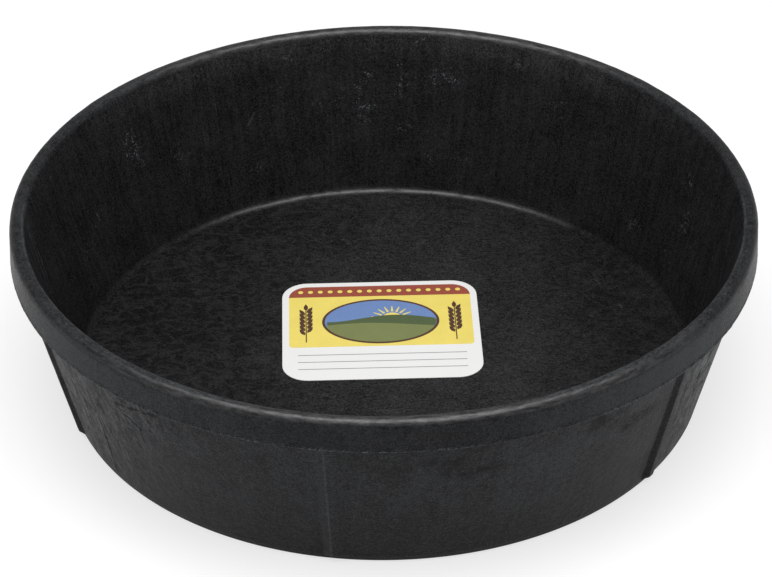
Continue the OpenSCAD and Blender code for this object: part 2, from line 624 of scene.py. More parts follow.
@dataclass(frozen=True)
class BlackRubber:
    """Black rubber pressed from crumb: matt, mottled and fibrous on the floor, with pale dust and wear,
    painted highlights on the lip and the ribs' edges, painted sheen towards the sides, painted light on the
    inner wall's flare, and painted shade on the ribs' flanks, in the creases, on the fillet's sides and on the
    floor by the walls.
    """

    name: str = "black_rubber"
    black: Colour = (0.0125, 0.0127, 0.0131)
    # Pale colour of dust and wear, also used for the painted highlights and painted sheen
    pale_dust_and_sheen: Colour = (0.173, 0.20, 0.213)
    specular: float = 0.11
    coat_roughness: float = 0.42
    coat_index: float = 1.65
    bump_strength: float = 1.0
    bump_depth: float = 1.0 * MM

    # Noises of the surface
    grain: Texture = Texture(800.0, 3.0, 0.7)
    crumb: Texture = Texture(1500.0, 1.0, 0.6)
    fine: Texture = Texture(900.0, 1.0)
    mottle: Texture = Texture(260.0, 4.0, 0.65)
    blotch: Texture = Texture(38.0, 4.0, 0.55)
    streak: Texture = Texture(300.0, 3.0, 0.6, stretch=(1.0, 1.0, 0.08))
    fibre: Texture = Texture(900.0, 3.0, 0.65, 0.6, (0.28, 1.0, 1.0))
    flake: Texture = Texture(125.0, 3.0, 0.5, 0.5, (0.7, 1.0, 1.0))
    hide: Texture = Texture(240.0, 5.0, 0.7, 0.8, (1.0, 1.0, 0.4))
    lip_streak: Texture = Texture(700.0, 3.0, 0.6, stretch=(0.2, 0.2, 1.0))
    fillet_streak: Texture = Texture(420.0, 3.0, 0.65, stretch=(0.2, 0.2, 1.0))
    torn: Texture = Texture(150.0, 5.0, 0.7)
    film_cloud: Texture = Texture(24.0)
    film_patch: Texture = Texture(70.0, 4.0, 0.65)
    edge_highlight_breaks: Texture = Texture(240.0, 3.0)
    scuff_patch: Texture = Texture(300.0)
    parting_gaps: Texture = Texture(16.0)
    shake: Texture = Texture(140.0)
    shake_reach: float = 4 * MM
    crease_bend: Texture = Texture(180.0)
    crease_bend_reach: float = 9 * MM
    crease_cells: float = 120.0
    crease_stretch: Triple = (1.0, 1.0, 0.45)
    crease_gaps: Texture = Texture(90.0)

    # Roughness of the parts
    roughness: float = 0.55
    lip_roughness: float = 0.46
    fillet_roughness: float = 0.32
    side_fillet_roughness: float = 0.9
    outer_roughness: float = 0.48
    band_roughness: float = 0.38
    side_roughness: float = 0.15
    flank_roughness: float = 0.62
    leather_roughness: float = 0.6
    smudge_roughness: float = 0.15

    # Film of dust on the outside, with painted sheen towards the sides and painted shade on the ribs' flanks,
    # where it is left off; darker towards the bottom
    film: float = 0.18
    band_film: float = 0.11
    side_sheen: float = 1.4
    crease_film: float = 0.12
    flank_shade: float = 0.9
    film_low: float = -12 * MM
    film_high: float = 70 * MM

    # Shine of the lip, of the fillet and of the creased skin
    lip_coat: float = 1.0
    fillet_coat: float = 0.65
    leather_coat: float = 0.38
    gloss_low: float = 108.4 * MM
    side_gloss_low: float = 107.2 * MM
    inner_gloss_low: float = 106.8 * MM
    gloss_fade: float = 1.4 * MM
    crown_radius: float = 205.15 * MM
    crown_half: float = 0.6 * MM
    crown_shift: float = 1.2 * MM
    side_gloss: float = 0.15
    shoulder_loss: float = 0.8
    # Strength and heights of the painted highlight along the lip's inner edge at the front
    lip_edge_highlight: float = 0.16
    lip_edge_from: Range = (109.0 * MM, 109.6 * MM)
    lip_edge_to: Range = (110.2 * MM, 110.6 * MM)

    # Tone of the parts, with painted light on the inner wall's flare, painted shade on the fillet's sides and
    # on the floor by the side walls
    floor_gain: float = 0.35
    inner_gain: float = 0.08
    fillet_side_shade: float = 0.12
    band_gain: float = 0.10
    flare_painted_light: float = 0.75
    side_flare_painted_light: float = 0.1
    flare: Range = (90 * MM, 103 * MM)
    # Painted shade of the side walls on the floor, around a lit middle
    lit_floor_middle: Triple = (22 * MM, 0.0, 0.0)
    wall_shade_stretch: Triple = (1.0, 0.5, 0.0)
    wall_shade_range: Range = (55 * MM, 124 * MM)
    lit_middle_gain: float = 1.14
    wall_shade_gain: float = 0.58
    seam_half: float = 0.085
    seam_turn: Range = (-60 * MM, 60 * MM)
    darkest: float = 0.2
    # Most that smudges and the painted crease shade darken the black
    deepest_smudge_and_crease_shade: float = 0.9

    # Half the depth over which the front passes into the back
    front_half: float = 20 * MM
    # Ranges of the share by which a place lies to the tub's sides, over which a look changes
    side: Range = (0.2, 0.72)
    far_side: Range = (0.8, 0.98)
    beside: Range = (0.45, 0.75)
    flare_side: Range = (0.6, 0.95)
    gloss_side: Range = (0.6, 0.85)
    shoulder_side: Range = (0.2, 0.5)
    front_side: Range = (0.12, 0.42)
    fillet_side: Range = (0.5, 0.72)

    def material(self) -> bpy.types.Material:
        """Build the node material.

        Returns:
            The material, which reads the shell's own attributes.
        """
        s = RubberSurface(self)
        shown = s.sideways.ramp(*self.gloss_side, 1.0, self.side_gloss)
        shoulder, crown = self.gloss(s, shown)
        pale = self.dust_sheen_and_flank_shade(s, crown) + self.scratched(s) + self.pale_wear_and_highlights(s, s.lip * shown)
        # Painted highlight: a thin pale broken line on the lip's inner shoulder, at the front
        edge_highlight = (shoulder * s.height.ramp(*self.lip_edge_from) * s.height.ramp(*self.lip_edge_to, 1.0, 0.0)
                  * s.noise(s.ring, self.edge_highlight_breaks).ramp(0.42, 0.58, 0.3, 1.0) * self.lip_edge_highlight)
        feeds = {0: pale + edge_highlight, 6: s.scaled(self.black, self.tone(s)), 7: (*self.pale_dust_and_sheen, 1.0)}
        colour = s.make("ShaderNodeMix", feeds, 2, data_type="RGBA", clamp_factor=True)

        rear_fillet = s.fillet * s.sideways.ramp(*self.fillet_side, 1.0, 0.03)
        side_fillet = s.sideways.ramp(*self.fillet_side, 0.0, self.side_fillet_roughness - self.roughness)
        rough = (
            self.roughness
            + s.lip * (self.lip_roughness - self.roughness + s.lip_streak.swing(0.25))
            + rear_fillet * (self.fillet_roughness - self.roughness)
            + s.fillet * side_fillet
            + s.outer * (self.outer_roughness - self.roughness)
            + s.flank * (self.flank_roughness - self.outer_roughness)
            + s.band * (self.band_roughness - self.roughness + s.sides * self.side_roughness)
            + s.leathery * (self.leather_roughness - self.outer_roughness)
            + s.crease_shade_and_smudge * self.smudge_roughness
            + s.grain.swing(0.10)
            + s.mottle.swing(0.10))
        ragged = s.noise(s.ring, self.fillet_streak).ramp(0.36, 0.54, 0.35, 1.15)
        coat = (
            crown * s.lip_streak.ramp(0.3, 0.62, 0.25 * self.lip_coat, self.lip_coat)
            + rear_fillet * ragged * self.fillet_coat
            + s.leathery * s.hide.ramp(0.40, 0.62) * s.smudge_and_crease_shade_factor * s.clean * self.leather_coat)
        relief = (
            s.grain * (0.15 + 0.15 * s.band + 0.3 * s.outer)
            + s.mottle * (0.2 + 0.5 * s.outer)
            + s.fibre * s.floor * 0.5
            + s.lip_streak * s.lip * 0.2
            - s.crease * 0.5
            + s.hide * s.leathery * 0.6)
        looks = {
            "Base Color": colour, "Roughness": rough, "Specular IOR Level": self.specular,
            "Coat Weight": coat, "Coat Roughness": self.coat_roughness, "Coat IOR": self.coat_index}
        return s.dress(looks, relief, self.bump_strength, self.bump_depth)

    def tone(self, s: "RubberSurface") -> Field:
        """Unevenness of the black, with painted light and shade on some parts.

        Args:
            s: the rubber's surface.

        Returns:
            The factor on the black.
        """
        # Painted shade: the floor is lighter in the middle and darker towards the side walls
        aside = s.vector("MULTIPLY", s.vector("SUBTRACT", s.place, self.lit_floor_middle), self.wall_shade_stretch)
        toward_walls = s.length(aside).ramp(*self.wall_shade_range)
        seam = abs(s.noise(s.place, self.flake) - 0.5).ramp(0.0, self.seam_half, 1.0, -0.5)
        seam_share = toward_walls.ramp(0.0, 1.0, 0.1, 0.7) * s.across.ramp(*self.seam_turn, 1.0, 0.65)
        uneven = (
            s.crumb.swing(1.6)
            + s.grain.swing(1.8)
            + s.mottle.swing(1.4) * (1.0 - 0.5 * s.floor - 0.75 * s.band - 0.6 * s.inner)
            + s.noise(s.place, self.blotch).swing(0.7)
            + s.streak.swing(0.5) * (1.5 * s.inner + s.outer)
            + s.fibre.swing(toward_walls.ramp(0.0, 1.0, 1.3, 0.7)) * s.floor
            + seam * seam_share * s.floor
            + s.grain.ramp(0.54, 0.72, 0.0, 2.5) * s.outer)
        floor_shade = toward_walls.ramp(0.0, 1.0, self.lit_middle_gain, self.wall_shade_gain)
        # Painted light: the inner wall's flare under the lip is lighter, less so at the sides
        flare = s.inner * s.height.ramp(*self.flare)
        regions = (
            1.0
            + s.floor * (floor_shade * (1.0 + self.floor_gain) - 1.0)
            + s.inner * self.inner_gain
            # Painted shade: the fillet is darker towards the sides
            + s.fillet * s.sideways.ramp(*self.beside, 0.0, -self.fillet_side_shade)
            + s.band * self.band_gain
            + flare * s.sideways.ramp(*self.flare_side, self.flare_painted_light, self.side_flare_painted_light))
        return s.math("MAXIMUM", uneven + 1.0, self.darkest) * regions * s.smudge_and_crease_shade_factor

    def gloss(self, s: "RubberSurface", shown: Field) -> tuple[Field, Field]:
        """Find the dull inner shoulder of the lip and its glossy crown.

        Args:
            s: the rubber's surface.
            shown: how much of the gloss is left towards the sides.

        Returns:
            The share of the shoulder and the share of the crown.
        """
        front_sides = (s.front * s.sideways).ramp(*self.front_side)
        past_crown = s.away - front_sides * self.crown_shift
        crown_edge = (self.crown_radius - self.crown_half, self.crown_radius + self.crown_half)
        inward = past_crown.ramp(*crown_edge, 1.0, 0.0)
        outer_low = front_sides.ramp(0.0, 1.0, self.gloss_low, self.side_gloss_low)
        start = inward * self.inner_gloss_low + (1.0 - inward) * outer_low
        shoulder = s.lip * inward * s.front * s.sideways.ramp(*self.shoulder_side)
        bright = s.height.ramp(start, start + self.gloss_fade)
        return shoulder, s.lip * shown * (1.0 - self.shoulder_loss * shoulder) * bright

    def dust_sheen_and_flank_shade(self, s: "RubberSurface", crown: Field) -> Field:
        """Share of the pale film on the outside: dust, with painted sheen towards the sides of the band and
        the lip, painted shade on the ribs' flanks, where it is left off, and darker towards the bottom.

        Args:
            s: the rubber's surface.
            crown: share of the lip's glossy crown.

        Returns:
            The share.
        """
        patches = (
            s.noise(s.ring, self.film_cloud).swing(0.7)
            + s.noise(s.ring, self.film_patch).swing(1.1)
            + (s.mottle.swing(0.9) + s.grain.swing(0.9)) * (1.0 + s.leathery)
            + s.hide.swing(2.0) * s.leathery
            + s.crumb.swing(2.3)
            + s.streak.swing(0.5))
        # Painted sheen: the band is lighter towards its sides
        patchy = patches * (1.0 - 0.55 * (s.band + s.lip)) + s.band * s.sides * 0.4
        # The lip's film thins towards the far sides, a painted shade there
        dull_lip = (s.lip - crown) * s.sideways.ramp(*self.beside, 1.0, 0.45)
        # Painted sheen: the band and the lip's lower part gain film towards the sides
        band_like = (s.band + dull_lip) * (1.0 + s.sides * self.side_sheen)
        creased = s.leathery * s.grain.ramp(0.45, 0.65)
        dusty = s.outer * self.film + band_like * self.band_film + creased * self.crease_film
        climb = s.height.ramp(self.film_low, self.film_high)
        return dusty * patchy.ramp(-0.45, 0.55) * s.smudge_and_crease_shade_factor * climb * s.clean

    @staticmethod
    def scratched(s: "RubberSurface") -> Field:
        """Share of the scratches and nicks, broken up by the crumb."""
        lines = s.inner * s.lines(s.unrolled, SCRATCHES) + s.floor * s.lines(s.on_floor, NICKS)
        return lines * s.crumb.ramp(0.35, 0.65, 0.2, 1.3)

    def pale_wear_and_highlights(self, s: "RubberSurface", lip: Field) -> Field:
        """Share of the pale wear in scuffs and along the parting line, and of the painted highlights on the
        ribs' edges and in streaks on the lip.

        Args:
            s: the rubber's surface.
            lip: share of the lip whose pale streaks, wear together with painted highlight, follow its gloss,
                which fades towards the sides.

        Returns:
            The share.
        """
        fine = s.noise(s.place, self.fine)
        patchy = s.noise(s.place, self.scuff_patch).ramp(0.46, 0.64) * fine.ramp(0.54, 0.74)
        gaps = s.noise(s.ring, self.parting_gaps).ramp(0.34, 0.5)
        return (
            s.attribute("scuff").ramp(0.05, 0.6) * patchy * 0.8
            + s.attribute("parting").ramp(0.3, 0.8) * fine.ramp(0.54, 0.66) * gaps * 0.9
            # Painted highlight along the left edge of each rib's crest
            + s.attribute("edge") * s.grain.ramp(0.3, 0.6) * 0.45
            # Pale streaks on the lip: wear, with painted highlight where the lip's gloss shows
            + lip * s.lip_streak.ramp(0.42, 0.78) * 0.08)


class RubberSurface(Surface):
    """The rubber's material, with the fields that several of its looks share."""

    def __init__(self, finish: BlackRubber) -> None:
        """Read the shell's attributes and make the shared noises and wear.

        Args:
            finish: the settings of the rubber.
        """
        super().__init__(finish.name)
        self.ring = self.attribute("ring", "Vector")
        self.outer, self.band, self.lip = self.split(self.attribute("outside", "Vector"))
        self.inner, self.floor, self.fillet = self.split(self.attribute("inside", "Vector"))
        self.flank = self.attribute("flank")
        self.leathery = self.attribute("crease")
        # Painted shade on the ribs' flanks towards the sides, which are left without the film
        self.clean = 1.0 - self.flank * finish.flank_shade

        self.across, depth, self.height = self.split(self.place)
        flat = self.vector("MULTIPLY", self.place, (1.0, 1.0, 0.0))
        self.away = self.length(flat)
        self.front = depth.ramp(-finish.front_half, finish.front_half, 1.0, 0.0)
        self.sideways = abs(self.across) / self.away
        self.sides = self.sideways.ramp(*finish.side) * (1.0 - 0.8 * self.sideways.ramp(*finish.far_side))

        self.grain = self.noise(self.place, finish.grain)
        self.crumb = self.noise(self.place, finish.crumb)
        self.mottle = self.noise(self.place, finish.mottle)
        self.fibre = self.noise(self.place, finish.fibre)
        self.streak = self.noise(self.ring, finish.streak)
        self.hide = self.noise(self.ring, finish.hide)
        self.lip_streak = self.noise(self.ring, finish.lip_streak)

        # Small shifts of the place keep the lines from looking ruled
        swung = self.vector("SUBTRACT", self.noise(self.place, finish.shake, "Color"), (0.5, 0.5, 0.5))
        shift = self.scaled(swung, finish.shake_reach)
        angle = self.math("ARCTAN2", self.across, depth * -1.0)
        self.unrolled = self.vector("ADD", self.combine(angle * RING_RADIUS, self.height, 0.0), shift)
        self.on_floor = self.vector("ADD", flat, shift)
        self.crease = self.creases(finish) + self.outer * self.lines(self.unrolled, VEINS)
        torn = self.noise(self.ring, finish.torn).ramp(0.36, 0.56, 0.0, 1.3)
        # Smudges are rubbed dark; the creases and wrinkles are darkened as painted shade
        self.crease_shade_and_smudge = self.attribute("smudge") * torn + self.crease
        self.smudge_and_crease_shade_factor = 1.0 - self.math("MINIMUM", self.crease_shade_and_smudge, finish.deepest_smudge_and_crease_shade)

    def creases(self, finish: BlackRubber) -> Field:
        """Share of creases in the skin of the outer wall.

        Args:
            finish: the settings of the rubber.

        Returns:
            The share, which is nothing outside the creased patches.
        """
        bend = self.scaled(self.noise(self.place, finish.crease_bend, "Color"), finish.crease_bend_reach)
        bent = self.vector("MULTIPLY", self.vector("ADD", self.place, bend), finish.crease_stretch)
        cells = self.make("ShaderNodeTexVoronoi", {"Vector": bent, "Scale": finish.crease_cells}, "Distance",
                          feature="DISTANCE_TO_EDGE", voronoi_dimensions="3D")
        broken = self.noise(self.place, finish.crease_gaps).ramp(0.42, 0.62)
        return cells.ramp(0.0, 0.13, 0.6, 0.0, True) * broken * self.leathery.ramp(0.1, 0.9)

    def lines(self, flat: Field, marks: list[LineMark]) -> Field:
        """Share of line marks.

        Args:
            flat: place on the floor or on the unrolled wall.
            marks: the lines.

        Returns:
            The share, which falls off from each line to both sides.
        """
        shares = []
        for mark in marks:
            start = Vector((*mark.start, 0))
            way = Vector((*mark.end, 0)) - start
            relative = self.vector("SUBTRACT", flat, tuple(start))
            along = self.dot(relative, tuple(way)).ramp(0.0, way.length_squared)
            aside = self.vector("SUBTRACT", relative, self.scaled(tuple(way), along))
            shares.append(self.length(aside).ramp(0.0, mark.half_width, mark.strength, 0.0))
        return sum(shares)


@dataclass
class RubberTub:
    """The moulded tub, turned from its section, with ribs that sink into the wall towards the band."""

    section: TubSection
    finish: BlackRubber
    name: str = "tub_shell"
    rib_count: int = 6
    rib_turn: float = -8.4
    rib_root: float = 13.2 * MM
    rib_crest: float = 3.6 * MM
    rib_proud_foot: float = 2.4 * MM
    rib_proud_top: float = 1.7 * MM
    crest_softness: float = 0.3 * MM
    root_softness: float = 0.35 * MM
    # Width of the painted highlight along the left edge of each rib's crest
    crest_highlight_width: float = 0.8 * MM
    columns_a_sector: int = 100
    rib_columns_a_sector: int = 34
    rib_reach: float = 9.0 * MM
    wobble: float = 0.25 * MM
    wobble_noise: Texture = Texture(14.0, 1.0)
    lip_ripple: float = 0.2 * MM
    ripple_noise: Texture = Texture(70.0)
    lip_nicks: float = 0.08 * MM
    nick_noise: Texture = Texture(260.0)
    wrinkle: float = 0.2 * MM
    wrinkle_noise: Texture = Texture(130.0, 3.0, stretch=(1.0, 1.0, 0.35))
    nib_proud: float = 0.25 * MM
    nib_noise: Texture = Texture(420.0, 1.0)
    nib_range: Range = (0.60, 0.74)
    parting_mean: float = -0.4 * MM
    parting_swing: float = 2.0 * MM
    parting_lowest: float = -1.4 * MM
    parting_softness: float = 1 * MM
    # Range of the sine of the angle from the front over which the ribs' flanks take painted shade
    flank_shade_range: Range = (0.3, 0.7)
    merge_distance: float = 0.005 * MM

    def build(self) -> bpy.types.Object:
        """Turn the section into the shell and dress it.

        Returns:
            The finished shell.
        """
        piece = new_object(self.name, self.section.mesh())
        self.recipe(len(piece.data.vertices)).apply(piece)
        self.close(piece.data)
        self.wear(piece.data)
        return piece

    def recipe(self, row_count: int) -> Recipe:
        """Build the tree that turns the section, raises the ribs and roughens the surface.

        Args:
            row_count: number of rows in the section.

        Returns:
            The tree with its inputs set.
        """
        r = Recipe("turned_and_ribbed_shell")
        rows = r.named("Rows", row_count, "Int")
        count = r.named("Columns", self.columns_a_sector * self.rib_count, "Int")
        geometry = r.make("GeometryNodeMeshGrid", {"Vertices X": count + 1, "Vertices Y": rows})
        index = r.make("GeometryNodeInputIndex")
        column = r.math("FLOOR", index / rows)
        row = index - column * rows
        place = r.sample(r.make("GeometryNodeInputPosition"), row)
        outward, outside, inside, slide = [
            r.sample(r.attribute(name, "FLOAT_VECTOR"), row)
            for name in ("outward", "outside", "inside", "slide")]
        run, parting = [r.sample(r.attribute(name, "FLOAT"), row, "FLOAT") for name in ("run", "parting")]
        outer, band, lip = r.split(outside)
        inner, _, fillet = r.split(inside)

        offset, angle = self.angles(r, column, count)
        sine = r.math("SINE", angle)
        cosine = r.math("COSINE", angle)
        ring = r.combine(sine * RING_RADIUS, cosine * -RING_RADIUS, run)
        twice_round = r.math("COSINE", angle * 2.0) * r.named("Parting swing", self.parting_swing)
        waver = r.math("SMOOTH_MAX", r.named("Parting mean", self.parting_mean) + twice_round,
                       r.named("Lowest parting", self.parting_lowest), self.parting_softness)
        radius, _, height = r.split(r.vector("ADD", place, r.scaled(slide, waver)))
        swell, edge, flank = self.rib_swell(r, radius, height, offset)

        nib = parting * r.noise(ring, self.nib_noise).ramp(*self.nib_range)
        lift = nib * r.named("Nib height", self.nib_proud)
        for name, reach, texture, share in (
                ("Wobble", self.wobble, self.wobble_noise, inner + outer + band + lip),
                ("Lip ripple", self.lip_ripple, self.ripple_noise, lip + fillet),
                ("Lip nicks", self.lip_nicks, self.nick_noise, lip),
                ("Wrinkle", self.wrinkle, self.wrinkle_noise, outer)):
            lift = lift + r.noise(ring, texture).swing(r.named(name, reach)) * share
        out, _, up = r.split(r.scaled(outward, lift))
        radius = radius + outer * swell + out
        position = r.combine(radius * sine, radius * -1.0 * cosine, height + up)

        for name, value in (("ring", ring), ("outside", outside), ("inside", inside)):
            geometry = r.store(geometry, name, value)
        # Flanks towards the sides are stored for the painted shade on them
        beside = abs(sine).ramp(*self.flank_shade_range)
        for name, value in (("parting", parting), ("edge", outer * edge), ("flank", outer * flank * beside)):
            geometry = r.store(geometry, name, value, "FLOAT")
        placed = r.make("GeometryNodeSetPosition", {"Geometry": geometry, "Position": position})
        merged = r.make("GeometryNodeMergeByDistance", {"Geometry": placed, "Distance": self.merge_distance})
        r.finish(r.make("GeometryNodeSetShadeSmooth", {0: merged}), self.finish.material())
        return r

    def angles(self, r: Recipe, column: Field, count: Field) -> tuple[Field, Field]:
        """Place the columns, closer together on the ribs.

        Args:
            r: the tree.
            column: number of the column.
            count: number of columns.

        Returns:
            The angle from the nearest rib and the angle from the front.
        """
        half_sector = math.pi / self.rib_count
        share = self.rib_columns_a_sector / self.columns_a_sector
        reach = self.rib_reach / (half_sector * RING_RADIUS)
        along = column / count * r.named("Rib count", self.rib_count, "Int")
        nearest = r.math("FLOOR", along + 0.5)
        aside = along - nearest
        distance = abs(aside) * 2.0
        spread = distance.ramp(0.0, share, 0.0, reach) + distance.ramp(share, 1.0, 0.0, 1.0 - reach)
        offset = spread * r.math("SIGN", aside) * half_sector
        return offset, nearest * (2 * half_sector) + offset + r.named("Rib turn", math.radians(self.rib_turn))

    def rib_swell(self, r: Recipe, radius: Field, height: Field, offset: Field) -> tuple[Field, Field, Field]:
        """How far a rib pushes a point of the outer wall outwards.

        Args:
            r: the tree.
            radius: radius of the point on the plain wall.
            height: height of the point.
            offset: angle from the nearest rib.

        Returns:
            The push, which is nothing beside the ribs and below their feet, how near the point lies to the
            left edge of a rib's crest, where a highlight is painted, and whether it lies on a flank.
        """
        section = self.section
        root = r.named("Rib root width", self.rib_root)
        crest = r.named("Rib crest width", self.rib_crest)
        proud = height.ramp(0.0, section.band_level, r.named("Rib proud at foot", self.rib_proud_foot),
                            r.named("Rib proud at top", self.rib_proud_top))
        aside = offset * radius
        flank = (root * 0.5 - abs(aside)) / ((root - crest) * 0.5)
        crested = r.math("SMOOTH_MIN", flank * proud, proud, r.named("Crest softness", self.crest_softness))
        body = r.math("SMOOTH_MAX", crested, 0.0, r.named("Root softness", self.root_softness))
        above = r.math("GREATER_THAN", height, section.rib_foot)
        standing = body * math.hypot(1, section.slope) * above
        beyond = height * section.slope + section.base_diameter / 2 + standing - radius
        # Painted highlight: a pale line along the left edge of the crest
        edge = above * abs(aside + crest * 0.5).ramp(0.0, self.crest_highlight_width, 1.0, 0.0)
        sloping = above * flank.ramp(-0.05, 0.1) * flank.ramp(0.85, 1.0, 1.0, 0.0)
        return r.math("MAXIMUM", beyond, 0.0), edge, sloping

    @staticmethod
    def close(mesh: bpy.types.Mesh) -> None:
        """Point all faces of the closed shell outwards."""
        shell = bmesh.new()
        shell.from_mesh(mesh)
        bmesh.ops.recalc_face_normals(shell, faces=shell.faces)
        shell.to_mesh(mesh)
        shell.free()

    @staticmethod
    def wear(mesh: bpy.types.Mesh) -> None:
        """Store where the walls are scuffed, smudged and creased."""
        x, y, z = read_vectors(mesh.vertices, "co").T
        for name, patches, layer in (("scuff", SCUFFS, "inside"), ("smudge", SMUDGES, "outside"),
                                     ("crease", CREASES, "outside")):
            amount = np.zeros(len(x), np.float32)
            for patch in patches:
                turn = math.radians(patch.angle)
                aside = x * math.cos(turn) + y * math.sin(turn)
                facing = x * math.sin(turn) - y * math.cos(turn) > 0
                across = (aside / patch.width) ** 2 + ((z - patch.height) / patch.tall) ** 2
                amount += np.where(facing, patch.strength * np.exp(-across), 0)
            amount *= read_vectors(mesh.attributes[layer].data, "vector")[:, 0]
            add_layer(mesh, name, amount)


@dataclass(frozen=True)
class PaperFinish:
    """Satin paper, or one flat ink on it, slightly uneven as offset print is."""

    name: str
    colour: Colour
    roughness: float = 0.42
    uneven: float = 0.14
    tooth: Texture = Texture(1300.0, 3.0, 0.6)
    cloud: Texture = Texture(90.0)
    tooth_roughness: float = 0.06
    bump_strength: float = 0.15
    bump_depth: float = 0.05 * MM

    def material(self) -> bpy.types.Material:
        """Build the node material.

        Returns:
            The material.
        """
        s = Surface(self.name)
        tooth = s.noise(s.place, self.tooth)
        tone = 1.0 + tooth.swing(self.uneven) + s.noise(s.place, self.cloud).swing(self.uneven / 2)
        looks = {"Base Color": s.scaled(self.colour, tone),
                 "Roughness": self.roughness + tooth.swing(self.tooth_roughness)}
        return s.dress(looks, tooth, self.bump_strength, self.bump_depth)


PAPER = PaperFinish("label_paper", (0.86, 0.86, 0.85), roughness=0.5, uneven=0.04)
INK_COLOURS = {
    Ink.YELLOW: (0.88, 0.72, 0.16),
    Ink.RED: (0.33, 0.075, 0.045),
    Ink.BROWN: (0.09, 0.040, 0.022),
    Ink.BLUE: (0.16, 0.26, 0.52),
    Ink.MEADOW: (0.20, 0.23, 0.085),
    Ink.HILL: (0.085, 0.12, 0.050),
    Ink.GREY: (0.25, 0.25, 0.26),
}


def rectangle(left: float, low: float, right: float, high: float) -> Outline:
    """Outline of a rectangle, anticlockwise."""
    return [(left, low), (right, low), (right, high), (left, high)]


def rounded_sheet(left: float, low: float, right: float, high: float, lower: float, upper: float) -> Outline:
    """Outline of a sheet with rounded corners.

    Args:
        left: left side.
        low: near side.
        right: right side.
        high: far side.
        lower: radius of the two near corners.
        upper: radius of the two far corners.

    Returns:
        The outline, anticlockwise.
    """
    steps = 10
    outline = []
    corners = ((right - lower, low + lower, lower, -90), (right - upper, high - upper, upper, 0),
               (left + upper, high - upper, upper, 90), (left + lower, low + lower, lower, 180))
    for x, y, radius, start in corners:
        for i in range(steps + 1):
            a = math.radians(start + 90 * i / steps)
            outline.append((x + radius * math.cos(a), y + radius * math.sin(a)))
    return outline


def oval(x: float, y: float, half_width: float, half_length: float, steps: int = 64) -> Outline:
    """Outline of an oval, anticlockwise."""
    turns = [math.tau * i / steps for i in range(steps)]
    return [(x + half_width * math.cos(a), y + half_length * math.sin(a)) for a in turns]


def add_prism(target: bmesh.types.BMesh, outline: Outline, low: float, high: float, slot: int) -> None:
    """Add a closed flat prism to a mesh.

    Args:
        target: the mesh.
        outline: outline of the prism, anticlockwise.
        low: height of its underside.
        high: height of its top.
        slot: material slot of its faces.
    """
    under = [target.verts.new((x, y, low)) for x, y in outline]
    over = [target.verts.new((x, y, high)) for x, y in outline]
    faces = [target.faces.new(over), target.faces.new(under[::-1])]
    for i in range(len(outline)):
        j = (i + 1) % len(outline)
        faces.append(target.faces.new((under[i], under[j], over[j], over[i])))
    for face in faces:
        face.material_index = slot


